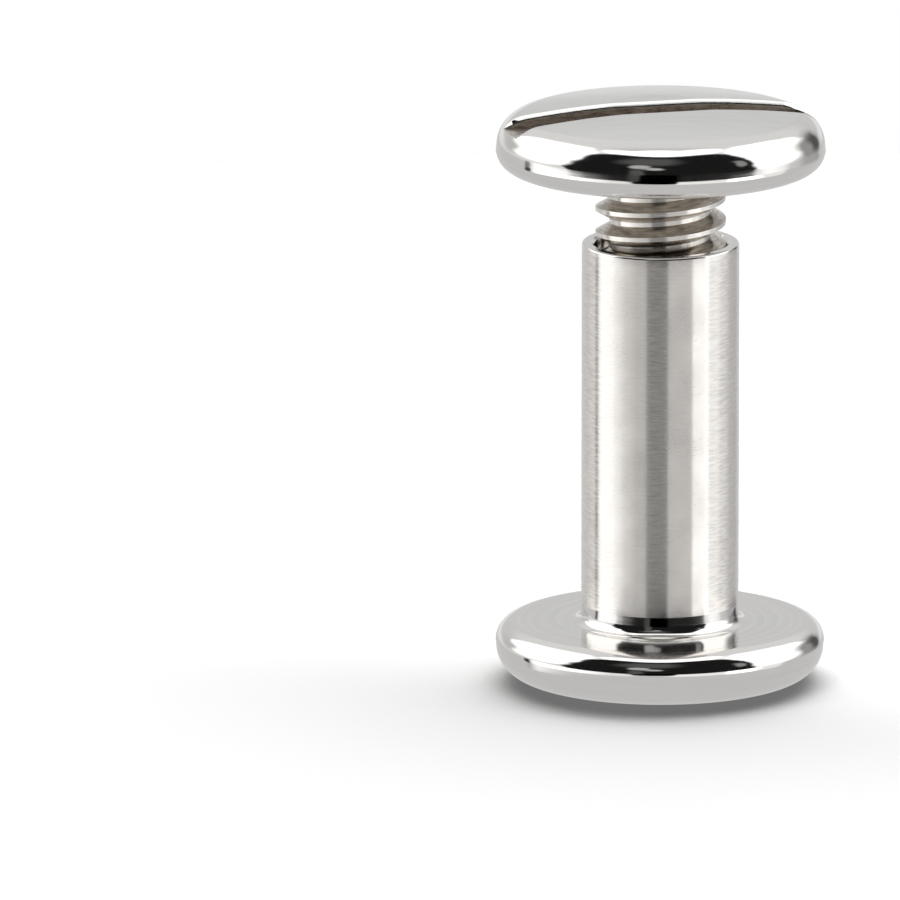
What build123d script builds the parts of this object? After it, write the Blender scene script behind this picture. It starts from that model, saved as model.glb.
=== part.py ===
from build123d import *
import math
import os

# Binding barrel screw: a post with a blind threaded bore and a head, and the slotted screw that closes it.
#
# The barrel stands on the flat of its own head. Z runs up the common axis, z = 0 is the foot, and the screw
# is opened by a whole number of turns. Millimetres throughout.

# ---- driving dimensions -------------------------------------------------------------------------------
# The two heads, which are alike
HEAD_D = 10.45
HEAD_THICKNESS = 2.0
CROWN_FLAT_D = 3.4         # the flat in the middle of the crown, on which the barrel stands
CROWN_R = 33.0             # the sphere that the crown is part of
RIM_WIDTH = 0.87           # rim outside the crown
INNER_EDGE = 0.6           # rounding of the rim towards the post

# Post of the barrel
POST_D = 5.0
POST_LENGTH = 12.3         # inner face of the head to the mouth
MOUTH_CHAMFER = 0.08
FOOT_FILLET = 0.38         # fillet between the head's inner face and the post
BAND_HEIGHT = 0.24         # turned band above the fillet
BAND_RELIEF = 0.03         # how far the band is turned below the wall

# Thread: No. 8-32, right hand
PITCH = 25.4 / 32
CREST_D = 4.14
ROOT_D = 3.4
CREST_FLAT = 0.1
FLANK_ANGLE = 30.0         # each flank against a plane square to the axis, in degrees
RIDGE_SUNK = 0.05          # how deep the ridge's foot is rooted in the core
THREAD_LENGTH = 7.5        # underside of the screw's head to the tip
COLLAR_HEIGHT = 0.35       # plain collar under the screw's head, at the end of the thread
TIP_CHAMFER = 0.4
THREAD_PHASE = 40.0        # turns the helix about its axis, in degrees

# Bore of the barrel, drilled blind
BORE_CLEARANCE = 0.04      # radial, over the thread's crests
BORE_DEPTH = 10.6          # mouth to the end of the full bore
DRILL_POINT_ANGLE = 118.0  # the cone at the bottom, in degrees

# Driver slot across the screw's head
SLOT_WIDTH = 1.5
SLOT_DEPTH = 0.62          # from the top of the crown
SLOT_ANGLE = 14.5          # about the axis, in degrees
SLOT_LIP = 0.13            # bevel along the slot's two lips

# How far the screw is unscrewed in the modelled position
TURNS_OPEN = 3

# ---- sizes that follow --------------------------------------------------------------------------------
head_r = HEAD_D / 2
crown_flat_r = CROWN_FLAT_D / 2
post_r = POST_D / 2
crest_r = CREST_D / 2
root_r = ROOT_D / 2
bore_r = crest_r + BORE_CLEARANCE
collar_r = crest_r + BORE_CLEARANCE / 2      # centres the seated screw in the mouth
rooted_z = HEAD_THICKNESS / 4                # how far shank and post are rooted in their heads
mouth_z = HEAD_THICKNESS + POST_LENGTH
screw_seat_z = mouth_z + TURNS_OPEN * PITCH  # underside of the screw's head


def turned(outline):
    """The solid turned about Z from a closed outline of (radius, height) points."""
    return revolve(Plane.XZ * make_face(outline), Axis.Z)


def quarter_round(start, corner, end):
    """Quarter circle that touches the lines from its two ends to the corner."""
    return Bezier(start, corner, end, weights=(1, math.sqrt(0.5), 1))


def head_blank():
    """A head with its flat underside at z = 0 and its crown upwards."""
    crown_centre_z = HEAD_THICKNESS - math.sqrt(CROWN_R**2 - crown_flat_r**2)
    crown_edge_r = head_r - RIM_WIDTH
    slope = math.asin(crown_edge_r / CROWN_R)
    crown_edge_z = crown_centre_z + CROWN_R * math.cos(slope)
    rim_leg = RIM_WIDTH / math.cos(slope)    # from the crown's edge to where crown and side would meet
    flat_edge = (crown_flat_r, HEAD_THICKNESS)
    crown_edge = (crown_edge_r, crown_edge_z)
    side_top = (head_r, crown_edge_z - rim_leg * math.sin(slope) - rim_leg)
    side_foot = (head_r, INNER_EDGE)
    face_edge = (head_r - INNER_EDGE, 0)
    return turned(
        Polyline(flat_edge, (0, HEAD_THICKNESS), (0, 0), face_edge)
        + quarter_round(face_edge, (head_r, 0), side_foot)
        + Line(side_foot, side_top)
        + TangentArc(side_top, crown_edge, tangent=(0, 1))
        + RadiusArc(crown_edge, flat_edge, -CROWN_R)
    )


def post():
    """The barrel's solid post from the inner face of its head up, with the fillet and band at its foot."""
    band_r = post_r - BAND_RELIEF
    band_top = FOOT_FILLET + BAND_HEIGHT
    fillet_foot = (band_r + FOOT_FILLET, 0)
    fillet_top = (band_r, FOOT_FILLET)
    return turned(
        Polyline(
            fillet_top,
            (band_r, band_top),
            (post_r, band_top),
            (post_r, POST_LENGTH - MOUTH_CHAMFER),
            (post_r - MOUTH_CHAMFER, POST_LENGTH),
            (0, POST_LENGTH),
            (0, -rooted_z),
            (band_r + FOOT_FILLET, -rooted_z),
            fillet_foot,
        )
        + quarter_round(fillet_foot, (band_r, 0), fillet_top)
    )


def bore():
    """The drilled hole, hanging down from the mouth at z = 0, with its drill point."""
    point = bore_r / math.tan(math.radians(DRILL_POINT_ANGLE / 2))
    above = POST_LENGTH
    return turned(
        Polyline(
            (0, above),
            (bore_r, above),
            (bore_r, -BORE_DEPTH),
            (0, -BORE_DEPTH - point),
            close=True,
        )
    )


def thread_turn():
    """One full turn of the helical ridge, of trapezoid section, its foot rooted in the core."""
    foot_r = root_r - RIDGE_SUNK
    half_crest = CREST_FLAT / 2
    half_foot = half_crest + (crest_r - foot_r) * math.tan(math.radians(FLANK_ANGLE))
    section = Polyline(
        (foot_r, 0, -half_foot),
        (crest_r, 0, -half_crest),
        (crest_r, 0, half_crest),
        (foot_r, 0, half_foot),
        close=True,
    )
    helix = Helix(pitch=PITCH, height=PITCH, radius=foot_r)
    return Rot(0, 0, THREAD_PHASE) * sweep(make_face(section), path=helix, is_frenet=True)


def threaded_shank():
    """Core, collar and ridge of the screw, hanging down from z = 0, with the tip chamfered."""
    hung = (Align.CENTER, Align.CENTER, Align.MAX)
    root = Pos(0, 0, rooted_z)
    core = root * Cylinder(root_r, THREAD_LENGTH + rooted_z, align=hung)
    collar = root * Cylinder(collar_r, COLLAR_HEIGHT + rooted_z, align=hung)
    turn = thread_turn()
    turns = math.ceil(THREAD_LENGTH / PITCH) + 1
    lowest_z = -THREAD_LENGTH - PITCH
    ridge = [Pos(0, 0, lowest_z + i * PITCH) * turn for i in range(turns)]
    tip_r = crest_r - TIP_CHAMFER
    envelope = turned(
        Polyline(
            (0, -THREAD_LENGTH),
            (tip_r, -THREAD_LENGTH),
            (tip_r + THREAD_LENGTH, 0),
            (tip_r + THREAD_LENGTH, rooted_z),
            (0, rooted_z),
            close=True,
        )
    )
    return (core.fuse(*ridge) & envelope) + collar


def slotted_head():
    """The screw's head on z = 0, with the driver slot right across it and the slot's lips bevelled."""
    floor_z = HEAD_THICKNESS - SLOT_DEPTH
    cutter = Pos(0, 0, floor_z) * Box(
        HEAD_D, SLOT_WIDTH, HEAD_THICKNESS, align=(Align.CENTER, Align.CENTER, Align.MIN)
    )
    blank = head_blank() - cutter
    lips = [
        edge
        for edge in blank.edges()
        if abs(abs(edge.center().Y) - SLOT_WIDTH / 2) < 1e-4
        and edge.center().Z > floor_z + 0.05
    ]
    return Rot(0, 0, SLOT_ANGLE) * chamfer(lips, SLOT_LIP)


def barrel():
    """Barrel standing on the flat of its crown, with the bore open at the top."""
    head = Pos(0, 0, HEAD_THICKNESS) * Rot(180, 0, 0) * head_blank()
    return head + Pos(0, 0, HEAD_THICKNESS) * post() - Pos(0, 0, mouth_z) * bore()


def screw():
    """Screw in the barrel's mouth, open by the modelled number of turns."""
    return Pos(0, 0, screw_seat_z) * (slotted_head() + threaded_shank())


def main():
    os.makedirs("parts", exist_ok=True)
    for name, solid in (("barrel", barrel()), ("screw", screw())):
        export_step(solid, f"parts/{name}.step")


main()
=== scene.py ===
"""Binding barrel screw: a plated barrel and its slotted screw, partly unscrewed, on a white table."""
import math

import bmesh
import bpy
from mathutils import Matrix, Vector


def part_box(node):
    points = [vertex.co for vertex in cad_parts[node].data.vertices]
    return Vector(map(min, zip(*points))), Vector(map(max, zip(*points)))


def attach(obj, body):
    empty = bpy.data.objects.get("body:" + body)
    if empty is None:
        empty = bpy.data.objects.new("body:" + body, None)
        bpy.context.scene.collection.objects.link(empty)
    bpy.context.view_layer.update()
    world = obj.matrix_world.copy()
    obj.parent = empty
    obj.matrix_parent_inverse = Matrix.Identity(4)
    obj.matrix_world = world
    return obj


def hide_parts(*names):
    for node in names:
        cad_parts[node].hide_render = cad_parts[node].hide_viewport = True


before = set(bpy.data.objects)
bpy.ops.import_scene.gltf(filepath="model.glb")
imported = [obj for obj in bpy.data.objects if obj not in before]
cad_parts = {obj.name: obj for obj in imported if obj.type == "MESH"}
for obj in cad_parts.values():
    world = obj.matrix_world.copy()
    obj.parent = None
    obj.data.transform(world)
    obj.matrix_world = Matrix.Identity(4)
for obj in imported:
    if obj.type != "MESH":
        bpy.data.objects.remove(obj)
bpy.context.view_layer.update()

MM = 0.001
TAU = math.tau
MOUTH_DROP = 0.002         # keeps the mouth clear of the seated head, so that no faces coincide (mm)

# ---- places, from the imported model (mm) ----------------------------------------------------------------
barrel_lo, barrel_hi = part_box("barrel")
screw_lo, screw_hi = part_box("screw")
FOOT_Z = barrel_lo.z / MM
MOUTH_Z = barrel_hi.z / MM - MOUTH_DROP
TIP_Z = screw_lo.z / MM
APEX_Z = screw_hi.z / MM
HEAD_R = barrel_hi.x / MM

# ---- sizes (mm) ----------------------------------------------------------------------------------------
HEAD_THICKNESS = 2.0
CROWN_FLAT_R = 1.7
CROWN_SPHERE_R = 33.0
RIM_WIDTH = 0.87
INNER_EDGE = 0.6                # height of the rounding between a head's flat face and its side
SIDE_LEAN = math.radians(5.5)   # how far the side leans inwards from there towards the crown
EDGE_LEAN = math.radians(4)     # and how far the rounding leans inwards where it meets the side

POST_R = 2.5
MOUTH_EDGE = 0.08          # rounding of the mouth's outer edge
FOOT_FILLET = 0.38         # fillet between the lower head's face and the post
BAND_HEIGHT = 0.24         # turned band above the fillet
BAND_RELIEF = 0.03         # how far the band is turned below the wall
BAND_R = POST_R - BAND_RELIEF
BAND_FLARE = 0.045         # how much wider the band is at the fillet than at its top

PITCH = 25.4 / 32
CREST_R = 2.07
ROOT_R = 1.625
CREST_HALF = 0.07          # half the flat on the crest
FLANK = math.radians(30)
THREAD_PHASE = math.radians(40)
BORE_CLEARANCE = 0.04      # radial, over the thread's crests
COLLAR_R = CREST_R + BORE_CLEARANCE / 2
COLLAR_HEIGHT = 0.35       # plain collar between the thread and the screw's head
TIP_CHAMFER = 0.4

BORE_R = CREST_R + BORE_CLEARANCE
BORE_DEPTH = 10.6
DRILL_HALF_ANGLE = math.radians(59)
NUT_MINOR_R = 1.76         # crests of the thread inside the bore
NUT_LENGTH = 9.6
NUT_GAP = 0.03             # clearance between the two threads, along the axis
COUNTERSINK_R = 2.2
COUNTERBORE_DEPTH = 0.45   # plain mouth of the bore, which takes the collar

SLOT_HALF = 0.75
SLOT_DEPTH = 0.62
SLOT_ANGLE = math.radians(14.5)
SLOT_LIP = 0.13

SEAT_Z = APEX_Z - HEAD_THICKNESS       # underside of the screw's head
FACE_Z = FOOT_Z + HEAD_THICKNESS       # inner face of the barrel's head

# ---- meshing -------------------------------------------------------------------------------------------
COLUMNS = 288              # columns round a turned surface,
HELIX_COLUMNS = 144        # round one turn of a thread,
HALF_COLUMNS = 132         # round one half of the slotted head
GAP_COLUMNS = 12           # and across each end of its slot
CROWN_STEPS = 16
SEAM = 0.01                # height of the strips that join a helix to the rings beside it (mm)
WELD_REACH = 2e-7          # metres
SHARP_EDGE = math.radians(28)

# Finishes, in the order of each piece's material slots; the thread's and the slot's carry painted shade as
# a darker colour
CROWN, RIM, FACE, WALL, THREAD_SHADE, RECESS_SHADE = range(6)


# ---- mesh helpers --------------------------------------------------------------------------------------
def arc(cx, cz, radius, start, end, steps):
    """Points of a circular arc in the (radius, height) half plane; angles in degrees from outwards."""
    turns = [math.radians(start + (end - start) * i / steps) for i in range(steps + 1)]
    return [(cx + radius * math.cos(t), cz + radius * math.sin(t)) for t in turns]


def line(a, b, steps):
    """Points from a to b in even steps."""
    across, up = b[0] - a[0], b[1] - a[1]
    return [(a[0] + across * i / steps, a[1] + up * i / steps) for i in range(steps + 1)]


def full_turn(columns=COLUMNS):
    return [TAU * i / columns for i in range(columns)]


def bridge(bm, first, second, finish, closed=True):
    """Quads between two rows of vertices."""
    count = len(first)
    for i in range(count if closed else count - 1):
        j = (i + 1) % count
        bm.faces.new((first[i], first[j], second[j], second[i])).material_index = finish


def lathe(bm, profile, angles, finish):
    """Surface turned about Z through (radius, height) points. A first point on the axis makes a fan."""
    previous = None
    for r, z in profile:
        if r == 0:
            hub = bm.verts.new((0, 0, z * MM))
            row = [hub] * len(angles)
        else:
            row = [bm.verts.new((r * math.cos(a) * MM, r * math.sin(a) * MM, z * MM)) for a in angles]
        if previous and previous[0] is previous[1]:
            for i in range(len(row)):
                triangle = (previous[0], row[(i + 1) % len(row)], row[i])
                bm.faces.new(triangle).material_index = finish
        elif previous:
            bridge(bm, previous, row, finish)
        previous = row


def join_rings(bm, heights, within, finish):
    """Closes the strip between the two open rings that lie at the given heights inside a radius."""
    def turn(ring, i):
        vert = ring[i % len(ring)]
        return math.atan2(vert.co.y, vert.co.x) + TAU * (i // len(ring))

    rings = []
    for z in heights:
        ring = [
            v for v in bm.verts
            if v.is_boundary and abs(v.co.z - z * MM) < 1e-7 and v.co.xy.length < within * MM
        ]
        rings.append(sorted(ring, key=lambda v: math.atan2(v.co.y, v.co.x)))
    first, second = rings
    i = j = 0
    while i < len(first) or j < len(second):
        ends = (first[i % len(first)], second[j % len(second)])
        if j == len(second) or (i < len(first) and turn(first, i + 1) <= turn(second, j + 1)):
            i += 1
            tip = first[i % len(first)]
        else:
            j += 1
            tip = second[j % len(second)]
        bm.faces.new((*ends, tip)).material_index = finish


def weld(bm):
    """Joins vertices that coincide and drops what that leaves without a size."""
    bmesh.ops.remove_doubles(bm, verts=bm.verts, dist=WELD_REACH)
    bmesh.ops.dissolve_degenerate(bm, edges=bm.edges, dist=1e-8)


def finish_mesh(bm, name, materials):
    """Turns all faces outwards, smooths them but for sharp edges, and links the piece."""
    bmesh.ops.recalc_face_normals(bm, faces=bm.faces)
    mesh = bpy.data.meshes.new(name)
    bm.to_mesh(mesh)
    bm.free()
    mesh.shade_smooth()
    mesh.set_sharp_from_angle(angle=SHARP_EDGE)
    for material in materials:
        mesh.materials.append(material)
    piece = bpy.data.objects.new(name, mesh)
    bpy.context.scene.collection.objects.link(piece)
    return piece


# ---- the two heads -------------------------------------------------------------------------------------
def head_runs():
    """Two runs of points, rim and crown, of a head whose flat face is at z = 0 and whose crown is up.

    The rim's run starts at the flat face and takes in the inner edge and the leaning side. The crown's run
    goes on from it to the edge of the crown's flat.
    """
    centre_z = HEAD_THICKNESS - math.sqrt(CROWN_SPHERE_R**2 - CROWN_FLAT_R**2)

    def crown_z(r):
        return centre_z + math.sqrt(CROWN_SPHERE_R**2 - r**2)

    slope = math.asin((HEAD_R - RIM_WIDTH) / CROWN_SPHERE_R)
    leg = RIM_WIDTH / math.cos(slope)
    rim_turn = math.pi / 2 - slope
    rim_r = leg / math.tan(rim_turn / 2)
    side_height = crown_z(HEAD_R - RIM_WIDTH) - leg * math.sin(slope) - leg - INNER_EDGE
    rim_inset = rim_r * (1 - math.cos(SIDE_LEAN)) + side_height * math.sin(SIDE_LEAN)
    inset = rim_inset / math.cos(SIDE_LEAN)
    crown_r = HEAD_R - inset - rim_r * (1 - math.cos(rim_turn))
    rim_z = crown_z(crown_r) - rim_r * math.sin(rim_turn)
    radii = [crown_r + (CROWN_FLAT_R - crown_r) * i / CROWN_STEPS for i in range(CROWN_STEPS + 1)]
    edge_r = INNER_EDGE / (1 - math.sin(EDGE_LEAN))
    edge_x = HEAD_R - edge_r * math.cos(EDGE_LEAN)
    rim_x = HEAD_R - inset - rim_r
    edge = arc(edge_x, edge_r, edge_r, -90, -math.degrees(EDGE_LEAN), 24)
    rounding = arc(rim_x, rim_z, rim_r, math.degrees(SIDE_LEAN), math.degrees(rim_turn), 44)
    rim = edge + line(edge[-1], rounding[0], 3)[1:-1] + rounding
    crown = [(r, crown_z(r)) for r in radii]
    return rim, crown


# ---- barrel --------------------------------------------------------------------------------------------
def barrel_runs():
    """Outside of the barrel in (points, finish) runs, from the foot's centre up to the countersink."""
    rim, crown = head_runs()
    crown = [(r, FACE_Z - z) for r, z in reversed(crown)]
    rim = [(r, FACE_Z - z) for r, z in reversed(rim)]
    fillet_r = BAND_R + FOOT_FILLET
    fillet_z = FACE_Z + FOOT_FILLET
    flare = math.acos(1 - BAND_FLARE / FOOT_FILLET)
    flare_foot = (BAND_R + BAND_FLARE, fillet_z - FOOT_FILLET * math.sin(flare))
    band_z = fillet_z + BAND_HEIGHT
    wall_z = MOUTH_Z - MOUTH_EDGE
    return [
        ([(0, FOOT_Z)] + line((CROWN_FLAT_R / 4, FOOT_Z), (CROWN_FLAT_R, FOOT_Z), 3), CROWN),
        (crown, CROWN),
        (rim, RIM),
        (line(rim[-1], (fillet_r, FACE_Z), 12), FACE),
        (arc(fillet_r, fillet_z, FOOT_FILLET, 270, 180 + math.degrees(flare), 24), RIM),
        (line(flare_foot, (BAND_R, band_z), 3) + [(POST_R, band_z)], RIM),
        (line((POST_R, band_z), (POST_R, wall_z), 40), WALL),
        (arc(POST_R - MOUTH_EDGE, wall_z, MOUTH_EDGE, 0, 90, 6), RIM),
        (line((POST_R - MOUTH_EDGE, MOUTH_Z), (COUNTERSINK_R, MOUTH_Z), 2), FACE),
    ]


def ridge_section(tip_half, foot_half):
    """One pitch of a thread's section with the ridge in its middle.

    Its points are (place along the axis, share of the way from root to crest).
    """
    half = PITCH / 2
    root = line((-half, 0), (-foot_half, 0), 3)[:-1]
    flank = line((-foot_half, 0), (-tip_half, 1), 7)
    crest = line((-tip_half, 1), (tip_half, 1), 3)[1:-1]
    fall = [(-along, share) for along, share in reversed(flank)]
    return root + flank + crest + fall + line((foot_half, 0), (half, 0), 3)[1:-1]


def helix_band(bm, section, low_r, high_r, z_low, z_high, finish, limit):
    """Right-hand helical surface, cut square at both ends.

    At the angle THREAD_PHASE the section's middle stands at the height SEAT_Z, and a pitch apart above and
    below. The function limit(r, z) gives the radius that a chamfer leaves there.
    """
    first = math.floor((z_low - SEAT_Z) / PITCH) - 2
    last = math.ceil((z_high - SEAT_Z) / PITCH) + 2
    band = bmesh.new()
    previous = None
    for i in range(HELIX_COLUMNS + 1):
        turn = i / HELIX_COLUMNS
        angle = THREAD_PHASE + TAU * turn
        row = []
        for k in range(first, last):
            for along, share in section:
                z = SEAT_Z + (k + turn) * PITCH + along
                r = limit(low_r + (high_r - low_r) * share, z)
                row.append(band.verts.new((r * math.cos(angle) * MM, r * math.sin(angle) * MM, z * MM)))
        if previous:
            bridge(band, previous, row, finish, closed=False)
        previous = row
    bmesh.ops.remove_doubles(band, verts=band.verts, dist=WELD_REACH)
    for z, outwards in ((z_low, (0, 0, -1)), (z_high, (0, 0, 1))):
        parts = list(band.verts) + list(band.edges) + list(band.faces)
        bmesh.ops.bisect_plane(
            band, geom=parts, dist=1e-8, plane_co=(0, 0, z * MM), plane_no=outwards, clear_outer=True
        )
    mesh = bpy.data.meshes.new("band")
    band.to_mesh(mesh)
    band.free()
    bm.from_mesh(mesh)
    bpy.data.meshes.remove(mesh)


def build_bore(bm):
    """Blind bore: drill point, plain end, thread, plain mouth and countersink."""
    bore_z = MOUTH_Z - BORE_DEPTH
    nut_low = MOUTH_Z - NUT_LENGTH
    sink_z = MOUTH_Z - (COUNTERSINK_R - BORE_R)
    nut_high = MOUTH_Z - COUNTERBORE_DEPTH
    point_z = bore_z - BORE_R / math.tan(DRILL_HALF_ANGLE)
    # the drill point and plain end take the slot's darker colour, painted shade
    lathe(bm, [(0, point_z)] + line((BORE_R, bore_z), (BORE_R, nut_low - SEAM), 2), full_turn(), RECESS_SHADE)
    plain = [(BORE_R, nut_high), (BORE_R, nut_high + SEAM), (BORE_R, sink_z)]
    lathe(bm, plain + [(COUNTERSINK_R, MOUTH_Z)], full_turn(), RIM)
    foot_half = PITCH / 2 - CREST_HALF - NUT_GAP
    tip_half = foot_half - (BORE_R - NUT_MINOR_R) * math.tan(FLANK)
    # half a pitch along, so that these ridges lie between the screw's
    section = [(along + PITCH / 2, share) for along, share in ridge_section(tip_half, foot_half)]

    def chamfered(r, z):
        return max(r, min(BORE_R, BORE_R + z - (nut_high - SEAM)))

    helix_band(bm, section, BORE_R, NUT_MINOR_R, nut_low, nut_high - SEAM, THREAD_SHADE, chamfered)
    weld(bm)
    join_rings(bm, (nut_low - SEAM, nut_low), COUNTERSINK_R, THREAD_SHADE)
    join_rings(bm, (nut_high - SEAM, nut_high), COUNTERSINK_R, RIM)


def build_barrel(materials):
    bm = bmesh.new()
    for points, finish in barrel_runs():
        lathe(bm, points, full_turn(), finish)
    build_bore(bm)
    return finish_mesh(bm, "barrel_body", materials)


# ---- screw ---------------------------------------------------------------------------------------------
LIP_SHARE = 0.6            # the most of a wall's height that a lip takes where the wall is low


def lip_path():
    """Bevel of a slot's lip of size 1, as (inset from the wall, drop), its two ends eased into arcs."""
    ease = 0.25
    steps = 4
    turns = [math.pi / 4 * i / steps for i in range(steps + 1)]
    radius = ease / math.tan(math.pi / 8)
    upper = [(1 + ease - radius * math.sin(t), radius * (1 - math.cos(t))) for t in turns]
    lower = [(drop, inset) for inset, drop in reversed(upper)]
    return upper + lower


def build_head(bm):
    """Collar and slotted head: full rings up to the slot's floor and two D-shaped halves above it."""
    floor_z = HEAD_THICKNESS - SLOT_DEPTH
    rim, crown = head_runs()
    below = [p for p in rim if p[1] < floor_z]
    above = [p for p in rim if p[1] > floor_z]
    share = (floor_z - below[-1][1]) / (above[0][1] - below[-1][1])
    floor_r = below[-1][0] + share * (above[0][0] - below[-1][0])
    path = lip_path()
    inset_max = path[0][0]
    inner_r = SLOT_HALF + SLOT_LIP * inset_max

    def half_angles(r, offset):
        start = math.asin(min(1.0, offset / r))
        return [start + (math.pi - 2 * start) * i / HALF_COLUMNS for i in range(HALF_COLUMNS + 1)]

    def place(x, y, z, side=1):
        c, s = math.cos(SLOT_ANGLE) * side, math.sin(SLOT_ANGLE) * side
        return bm.verts.new(((x * c - y * s) * MM, (x * s + y * c) * MM, (z + SEAT_Z) * MM))

    def lip_and_wall(r, z, lip, outward, upward, end, side):
        """Down over the lip and the wall to the slot's floor, at a row's right (end 1) or left (-1)."""
        points = []
        for inset, drop in path[1:]:
            y = SLOT_HALF + lip * inset
            x = math.sqrt(max(r * r - y * y, 0)) + lip * drop * min(outward, 0)
            points.append(place(end * x, y, z - lip * drop * upward, side))
        foot = points[-1].co.copy()
        foot.z = (floor_z + SEAT_Z) * MM
        return points + [bm.verts.new(foot)]

    # collar, underside and edge: full rings
    mouth_half = math.asin(SLOT_HALF / floor_r)
    gap = [-mouth_half + 2 * mouth_half * i / GAP_COLUMNS for i in range(1, GAP_COLUMNS)]
    half = half_angles(floor_r, SLOT_HALF)
    angles = [a + SLOT_ANGLE for a in half + [math.pi + g for g in gap]]
    angles += [a + math.pi for a in angles]
    lifted = [(r, z + SEAT_Z) for r, z in below + [(floor_r, floor_z)]]
    lathe(bm, line((COLLAR_R, SEAT_Z - COLLAR_HEIGHT), (COLLAR_R, SEAT_Z), 2), angles, RIM)
    lathe(bm, line((COLLAR_R, SEAT_Z), lifted[0], 12), angles, FACE)
    lathe(bm, lifted, angles, RIM)

    # the two halves: each row runs from the floor up one wall, over the lip, round the head and back down
    levels = [(floor_r, floor_z, RIM)] + [(r, z, RIM) for r, z in above]
    levels += [(r, z, CROWN) for r, z in crown[1:]]
    levels += [(r, z, CROWN) for r, z in line(crown[-1], (inner_r, HEAD_THICKNESS), 10)[1:]]
    feet = {1: [], -1: []}
    for side in feet:
        previous = None
        for i, (r, z, finish) in enumerate(levels):
            lip = min(SLOT_LIP, LIP_SHARE * (z - floor_z))
            back = levels[max(i - 1, 0)]
            ahead = levels[min(i + 1, len(levels) - 1)]
            tangent = Vector((ahead[0] - back[0], ahead[1] - back[1])).normalized()
            outward, upward = -tangent.y, -tangent.x
            offset = min(SLOT_HALF + lip * inset_max, r)
            row = [place(r * math.cos(a), r * math.sin(a), z, side) for a in half_angles(r, offset)]
            right = lip_and_wall(r, z, lip, outward, upward, 1, side)
            left = lip_and_wall(r, z, lip, outward, upward, -1, side)
            row = right[::-1] + row + left
            if previous:
                bridge(bm, previous, row, finish, closed=False)
            previous = row
            feet[side].append((row[0], row[-1]))
        # the last row's arc has shrunk to a point, where its two ends meet
        wall_steps = len(right)
        bridge(bm, previous[wall_steps::-1], previous[wall_steps + HALF_COLUMNS:], CROWN, closed=False)

    # the slot's floor, from wall to wall, in the darker colour that paints shade in the slot
    near, far = feet[1], feet[-1]
    for end in (0, 1):
        bridge(bm, [pair[end] for pair in near], [pair[1 - end] for pair in far], RECESS_SHADE, closed=False)
    bm.faces.new((*near[-1], *far[-1])).material_index = RECESS_SHADE
    for side in (1, -1):
        rim_row = [place(floor_r * math.cos(g), floor_r * math.sin(g), floor_z, side)
                   for g in [-mouth_half] + gap + [mouth_half]]
        bm.faces.new(rim_row).material_index = RECESS_SHADE


def paint_slot(bm):
    """Gives the slot's upright walls its finish, whose darker colour is painted shade."""
    floor_z = (SEAT_Z + HEAD_THICKNESS - SLOT_DEPTH) * MM
    across = Vector((-math.sin(SLOT_ANGLE), math.cos(SLOT_ANGLE), 0))
    for face in bm.faces:
        middle = face.calc_center_median()
        on_wall = abs(abs(middle.dot(across)) - SLOT_HALF * MM) < 1e-6
        if middle.z > floor_z and on_wall and abs(face.normal.dot(across)) > 0.98:
            face.material_index = RECESS_SHADE


def build_screw(materials):
    bm = bmesh.new()
    build_head(bm)
    collar_z = SEAT_Z - COLLAR_HEIGHT
    foot_half = CREST_HALF + (CREST_R - ROOT_R) * math.tan(FLANK)
    section = ridge_section(CREST_HALF, foot_half)
    tip_r = CREST_R - TIP_CHAMFER

    def chamfered(r, z):
        return min(r, tip_r + max(z - TIP_Z - SEAM, 0))

    helix_band(bm, section, ROOT_R, CREST_R, TIP_Z + SEAM, collar_z - SEAM, THREAD_SHADE, chamfered)
    # painted shade: the flanks, picked by their slope, keep the darker thread colour, while crests and
    # roots take the wall's finish
    bm.normal_update()
    for face in bm.faces:
        if face.material_index == THREAD_SHADE and abs(face.normal.z) < 0.5:
            face.material_index = WALL
    tip = [(r, TIP_Z) for r in (0, ROOT_R / 2, tip_r - 2 * SEAM, tip_r - SEAM)]
    lathe(bm, tip, full_turn(), FACE)
    weld(bm)
    join_rings(bm, (TIP_Z, TIP_Z + SEAM), HEAD_R, THREAD_SHADE)
    join_rings(bm, (collar_z - SEAM, collar_z), HEAD_R, RIM)
    bm.normal_update()
    paint_slot(bm)
    return finish_mesh(bm, "screw_body", materials)


# ---- materials -----------------------------------------------------------------------------------------
def node(tree, kind, inputs=(), **values):
    """A new node with its settings; inputs are (socket, value or socket to link from)."""
    made = tree.nodes.new(kind)
    for key, value in values.items():
        setattr(made, key, value)
    for key, value in inputs:
        if isinstance(value, bpy.types.NodeSocket):
            tree.links.new(value, made.inputs[key])
        else:
            made.inputs[key].default_value = value
    return made


def math_node(tree, operation, *values):
    return node(tree, "ShaderNodeMath", enumerate(values), operation=operation).outputs[0]


def turning_lines(tree, fine, along):
    """Noise drawn out round the axis, as a lathe leaves it: fine per mm across, along per radian."""
    place = node(tree, "ShaderNodeTexCoord").outputs["Object"]
    split = node(tree, "ShaderNodeSeparateXYZ", [(0, place)])
    flat = node(tree, "ShaderNodeCombineXYZ", [(0, split.outputs[0]), (1, split.outputs[1])]).outputs[0]
    radius = node(tree, "ShaderNodeVectorMath", [(0, flat)], operation="LENGTH").outputs["Value"]
    around = node(tree, "ShaderNodeVectorMath", [(0, flat)], operation="NORMALIZE").outputs[0]
    spread = node(tree, "ShaderNodeVectorMath", [(0, around), (3, along)], operation="SCALE").outputs[0]
    lift = node(tree, "ShaderNodeCombineXYZ", [(2, math_node(tree, "MULTIPLY", radius, fine / MM))])
    where = node(tree, "ShaderNodeVectorMath", [(0, spread), (1, lift.outputs[0])], operation="ADD")
    height = math_node(tree, "MULTIPLY", split.outputs[2], fine / MM)
    lines = node(
        tree, "ShaderNodeTexNoise",
        [("Vector", where.outputs[0]), ("W", height), ("Scale", 1.0), ("Detail", 3.0)],
        noise_dimensions="4D",
    )
    return lines.outputs[0]


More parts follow.
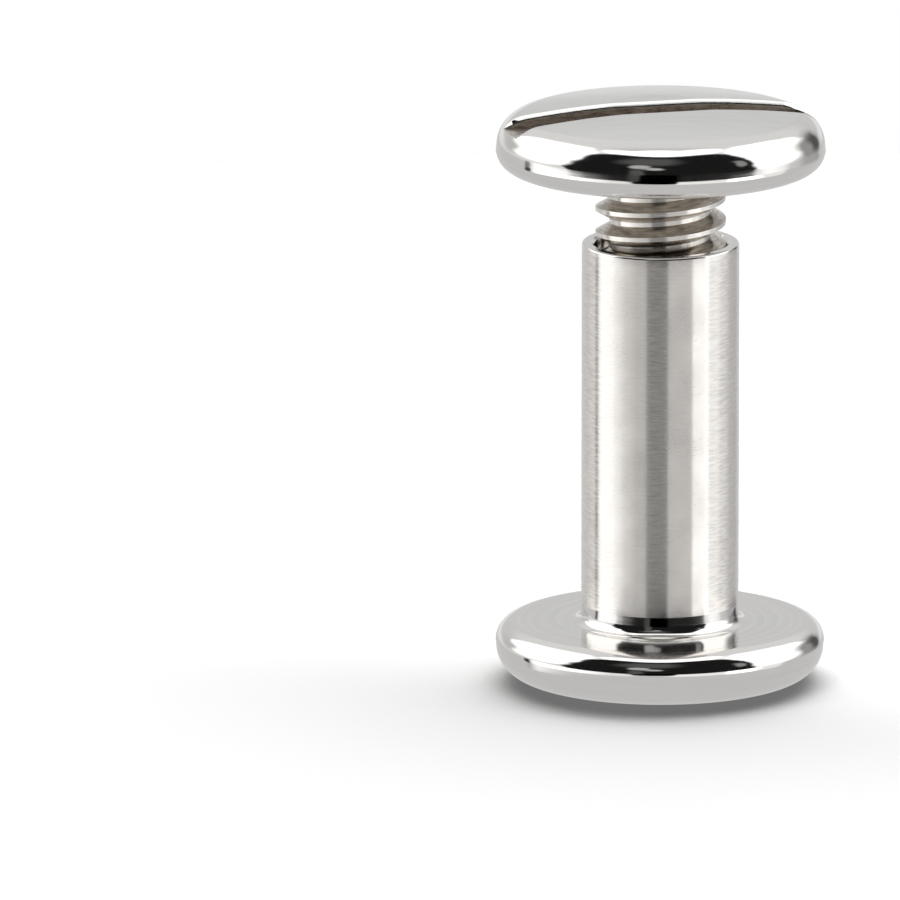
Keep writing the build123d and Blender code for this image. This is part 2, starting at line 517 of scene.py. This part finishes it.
def stretched_noise(tree, per_mm, detail=3.0):
    """Noise with its own fineness along X, Y and Z."""
    place = node(tree, "ShaderNodeTexCoord").outputs["Object"]
    scaled = node(tree, "ShaderNodeMapping", [(0, place), ("Scale", [f / MM for f in per_mm])])
    grain = node(
        tree, "ShaderNodeTexNoise", [("Vector", scaled.outputs[0]), ("Scale", 1.0), ("Detail", detail)]
    )
    return grain.outputs[0]


UNEVEN_GLOSS = 0.25        # how far roughness strays to both sides, as a share
CLOUD_PER_MM = 0.8


def metal(name, colour, roughness, grain, vary, depth, anisotropy=0.0):
    """Plated steel: the function grain draws noise in the node tree, for tone, gloss and relief."""
    material = bpy.data.materials.new(name)
    material.use_nodes = True
    tree = material.node_tree
    bsdf = tree.nodes["Principled BSDF"]
    bsdf.inputs["Metallic"].default_value = 1.0
    bsdf.inputs["Anisotropic"].default_value = anisotropy
    bsdf.inputs["Anisotropic Rotation"].default_value = 0.25
    drawn = grain(tree)
    cloud = stretched_noise(tree, (CLOUD_PER_MM, CLOUD_PER_MM, CLOUD_PER_MM), 2.0)
    dull = [c * (1 - vary) for c in colour] + [1]
    bright = [min(1, c * (1 + vary)) for c in colour] + [1]
    marks = node(tree, "ShaderNodeMapRange", [(0, drawn), (1, 0.35), (2, 0.65)]).outputs[0]
    tone = node(tree, "ShaderNodeMix", [(0, marks), (6, dull), (7, bright)], data_type="RGBA")
    fine_part = math_node(tree, "MULTIPLY", drawn, 0.6)
    slow_part = math_node(tree, "MULTIPLY", cloud, 0.4)
    both = math_node(tree, "ADD", fine_part, slow_part)
    smoothest, roughest = roughness * (1 - UNEVEN_GLOSS), roughness * (1 + UNEVEN_GLOSS)
    gloss = node(
        tree, "ShaderNodeMapRange",
        [(0, both), (1, 0.3), (2, 0.7), (3, smoothest), (4, roughest)],
    )
    relief = node(tree, "ShaderNodeBump", [("Height", drawn), ("Distance", depth * MM)])
    around = node(tree, "ShaderNodeTangent", direction_type="RADIAL", axis="Z")
    tree.links.new(tone.outputs[2], bsdf.inputs["Base Color"])
    tree.links.new(gloss.outputs[0], bsdf.inputs["Roughness"])
    tree.links.new(relief.outputs[0], bsdf.inputs["Normal"])
    tree.links.new(around.outputs[0], bsdf.inputs["Tangent"])
    return material


def plated_finishes():
    """One material for each finish, in the order of CROWN, RIM, FACE, WALL, THREAD_SHADE, RECESS_SHADE."""
    return [
        metal("satin_crown", (0.775, 0.77, 0.755), 0.2, lambda t: stretched_noise(t, (0.5, 9, 9)),
              vary=0.02, depth=0.0003),
        metal("polished_rim", (0.78, 0.765, 0.745), 0.07, lambda t: turning_lines(t, 7, 2),
              vary=0.015, depth=0.0005),
        metal("turned_face", (0.78, 0.77, 0.755), 0.12, lambda t: turning_lines(t, 7, 0.7),
              vary=0.04, anisotropy=0.5, depth=0.0016),
        metal("brushed_wall", (0.8, 0.77, 0.735), 0.24, lambda t: turning_lines(t, 16, 6),
              vary=0.08, anisotropy=0.97, depth=0.0002),
        # darker colour is painted shade on the thread's flanks and on the thread inside the bore
        metal("thread_painted_shade", (0.5, 0.46, 0.41), 0.16, lambda t: turning_lines(t, 12, 4),
              vary=0.25, depth=0.0008),
        # darker colour is painted shade in the slot and the bore's end; the rough grain is the sawn
        # surface's own
        metal("sawn_slot_painted_shade", (0.5, 0.45, 0.4), 0.3, lambda t: stretched_noise(t, (2, 9, 12)),
              vary=0.25, depth=0.004),
    ]


# ---- studio --------------------------------------------------------------------------------------------
# What the metal mirrors, and only glossy rays see. Directions are in degrees: azimuth 0 towards the camera
# and growing to the right, elevation above the horizon. Each light or flag covers those before it. Its row
# holds azimuths, elevations, how square its corners are (2 is an ellipse), softness in degrees, and level.
SURROUND_LEVEL = 0.66
LIGHTS = (
    ((-260, 260), (24, 70), 8, 16, 0.82),       # pale wall all round
    ((-260, 260), (-160, -2), 8, 2, 0.64),      # table
    ((-260, 260), (-5, 4), 8, 4, 0.85),         # its far edge
    ((-260, 260), (81, 99), 8, 3, 1.6),         # lamp above
    ((-118, 138), (66, 114), 8, 3, 1.6),        # strip light over the camera
    ((-76, 77), (-7, 70), 6, 2, 0.012),         # dark room behind the camera
    ((-34, 14), (36, 62), 3, 12, 0.1),          # what the room holds: a faint rail,
    ((-25, -9), (23, 36), 2, 4, 0.5),           # a lamp's housing
    ((-13, 1), (19, 27), 2, 4, 0.55),
    ((-22, -13), (-3, 20), 4, 5, 0.1),          # with its foot,
    ((57, 64), (14, 33), 3, 3, 0.3),            # and a reflector's edge
    ((4, 96), (-20, -4), 8, 2, 1.05),           # table lit beside the right softbox
    ((48, 92), (-20, -4), 8, 2, 1.0),
    ((48, 74), (-20, -4), 8, 2, 2.2),
    ((-98, -19), (-20, -4), 8, 2, 0.95),        # and beside the left one
    ((-99, -44), (-20, -4), 8, 6, 1.35),
    ((-99, -58), (-20, -4), 8, 6, 1.7),
    ((-17, 10), (-15, 2), 8, 1.5, 0.0),         # the camera's stand
    ((-142, -69), (1, 65), 3, 5, 1.6),          # left softbox
    ((70, 139), (0, 65), 3, 5, 1.6),            # right softbox
    ((70, 110), (-4, 40), 4, 5, 1.6),
    ((-146, -122), (-2, 16), 3, 10, 0.6),       # dark patches under the softboxes' outer corners
    ((114, 152), (-9, 24), 3, 12, 0.35),
    ((134, 148), (-6, 18), 3, 7, 0.1),
    ((-110, -104), (-19, -5), 6, 1.5, 0.05),    # left softbox's foot
)

WAVER_FINENESS = 3.0
WAVER_REACH = 16.0         # how far the noise moves an azimuth from end to end (degrees)

# What matt surfaces take their light from: one big light at the back right, in a dim room
BACK_LIGHT = ((70, 240), (20, 75), 8, 5)
BACK_LEVEL = 2.3
ROOM_LEVEL = 0.2


def light_shape(tree, azimuth, elevation, azimuths, elevations, squareness, soft):
    """1 inside a rounded rectangle of directions and 0 outside it, with soft edges."""
    powers = []
    for value, (low, high) in ((azimuth, azimuths), (elevation, elevations)):
        half = (high - low) / 2
        off = math_node(tree, "SUBTRACT", value, (high + low) / 2)
        share = math_node(tree, "ABSOLUTE", math_node(tree, "DIVIDE", off, half))
        powers.append(math_node(tree, "POWER", share, squareness))
    radius = math_node(tree, "POWER", math_node(tree, "ADD", *powers), 1 / squareness)
    spread = soft / min(azimuths[1] - azimuths[0], elevations[1] - elevations[0])
    edge = [(0, radius), (1, 1 - spread), (2, 1 + spread), (3, 1), (4, 0)]
    return node(tree, "ShaderNodeMapRange", edge, interpolation_type="SMOOTHSTEP").outputs[0]


def wavering(tree, angle, way):
    """An angle bent by slow noise over the directions, so that nothing mirrored has a ruled edge."""
    noise = node(tree, "ShaderNodeTexNoise", [("Vector", way), ("Scale", WAVER_FINENESS), ("Detail", 2.0)])
    centred = math_node(tree, "SUBTRACT", noise.outputs[0], 0.5)
    bend = math_node(tree, "MULTIPLY", centred, WAVER_REACH)
    return math_node(tree, "ADD", angle, bend)


def mix(tree, share, first, second):
    """The first level where share is 0 and the second where it is 1."""
    return node(tree, "ShaderNodeMix", [(0, share), (2, first), (3, second)]).outputs[0]


def build_world():
    """White for the camera, the back light for matt surfaces, and the lights and flags for the metal."""
    world = bpy.data.worlds.new("studio")
    bpy.context.scene.world = world
    world.cycles.sampling_method = "NONE"
    world.use_nodes = True
    tree = world.node_tree
    tree.nodes.clear()
    way = node(tree, "ShaderNodeTexCoord").outputs["Generated"]
    split = node(tree, "ShaderNodeSeparateXYZ", [(0, way)])
    ahead = math_node(tree, "MULTIPLY", split.outputs[1], -1.0)
    azimuth = math_node(tree, "DEGREES", math_node(tree, "ARCTAN2", split.outputs[0], ahead))
    elevation = math_node(tree, "DEGREES", math_node(tree, "ARCSINE", split.outputs[2]))
    azimuth = wavering(tree, azimuth, way)
    level = SURROUND_LEVEL
    for azimuths, elevations, squareness, soft, strength in LIGHTS:
        inside = light_shape(tree, azimuth, elevation, azimuths, elevations, squareness, soft)
        level = mix(tree, inside, level, strength)
    full_azimuth = math_node(tree, "FLOORED_MODULO", azimuth, 360.0)
    behind = light_shape(tree, full_azimuth, elevation, *BACK_LIGHT)
    matt = mix(tree, behind, ROOM_LEVEL, BACK_LEVEL)
    rays = node(tree, "ShaderNodeLightPath")
    seen = mix(tree, rays.outputs["Is Glossy Ray"], matt, level)
    seen = mix(tree, rays.outputs["Is Camera Ray"], seen, 1.0)
    light = node(tree, "ShaderNodeBackground", [(0, (1, 1, 1, 1)), (1, seen)])
    out = node(tree, "ShaderNodeOutputWorld")
    tree.links.new(light.outputs[0], out.inputs["Surface"])


TABLE_R = 80.0
TABLE_DROP = 0.02          # below the foot (mm)
PAINTED_SHADOW_REACH = 4.0        # how near the piece the painted shadow reaches into the table's colour (mm)
PAINTED_SHADOW_LEVEL = 0.1        # painted shadow: the table's colour right under the piece
OPEN_WHITE = 0.95          # and away from it
CAMERA_LIFT = 0.12         # glow that only the camera sees


def build_table():
    """White disc that takes the shadow, with more shadow painted into its colour near the piece; for the
    camera it is lifted towards the white around it.
    """
    bm = bmesh.new()
    lathe(bm, [(0, 0), (TABLE_R / 4, 0), (TABLE_R, 0)], full_turn(96), 0)
    material = bpy.data.materials.new("white_table_painted_shadow")
    table = finish_mesh(bm, "table", [material])
    table.location.z = (FOOT_Z - TABLE_DROP) * MM
    table.visible_glossy = False
    material.use_nodes = True
    tree = material.node_tree
    bsdf = tree.nodes["Principled BSDF"]
    # ambient occlusion darkens the table's colour near the piece: a painted contact shadow
    near = node(tree, "ShaderNodeAmbientOcclusion", [("Distance", PAINTED_SHADOW_REACH * MM)], samples=8)
    white = node(
        tree, "ShaderNodeMapRange",
        [(0, near.outputs["AO"]), (1, 0.3), (2, 0.7), (3, PAINTED_SHADOW_LEVEL), (4, OPEN_WHITE)],
    )
    tree.links.new(white.outputs[0], bsdf.inputs["Base Color"])
    bsdf.inputs["Roughness"].default_value = 0.8
    bsdf.inputs["Specular IOR Level"].default_value = 0.0
    rays = node(tree, "ShaderNodeLightPath")
    lift = math_node(tree, "MULTIPLY", rays.outputs["Is Camera Ray"], CAMERA_LIFT)
    bsdf.inputs["Emission Color"].default_value = (1, 1, 1, 1)
    tree.links.new(lift, bsdf.inputs["Emission Strength"])


FRAME_WIDTH = 28.585       # width of the picture at the axis (mm)
AXIS_RIGHT = 6.675         # how far the axis stands right of the picture's middle
TARGET_Z = 7.52            # height of the picture's middle at the axis
CAMERA_DISTANCE = 750.0
CAMERA_ELEVATION = math.radians(12.86)


def build_camera():
    data = bpy.data.cameras.new("camera")
    camera = bpy.data.objects.new("camera", data)
    bpy.context.scene.collection.objects.link(camera)
    bpy.context.scene.camera = camera
    data.sensor_width = 36
    data.lens = data.sensor_width * CAMERA_DISTANCE / FRAME_WIDTH
    data.clip_end = 5
    back = Vector((0, -math.cos(CAMERA_ELEVATION), math.sin(CAMERA_ELEVATION)))
    camera.location = Vector((-AXIS_RIGHT, 0, TARGET_Z)) * MM + back * CAMERA_DISTANCE * MM
    camera.rotation_euler = (-back).to_track_quat("-Z", "Y").to_euler()


finishes = plated_finishes()
for piece, body, slot in (
    (build_barrel(finishes), "barrel", "barrel_metal"),
    (build_screw(finishes), "screw", "screw_metal"),
):
    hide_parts(body)
    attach(piece, body)

build_world()
build_table()
build_camera()
bpy.context.scene.view_settings.view_transform = "Standard"

bpy.context.view_layer.update()
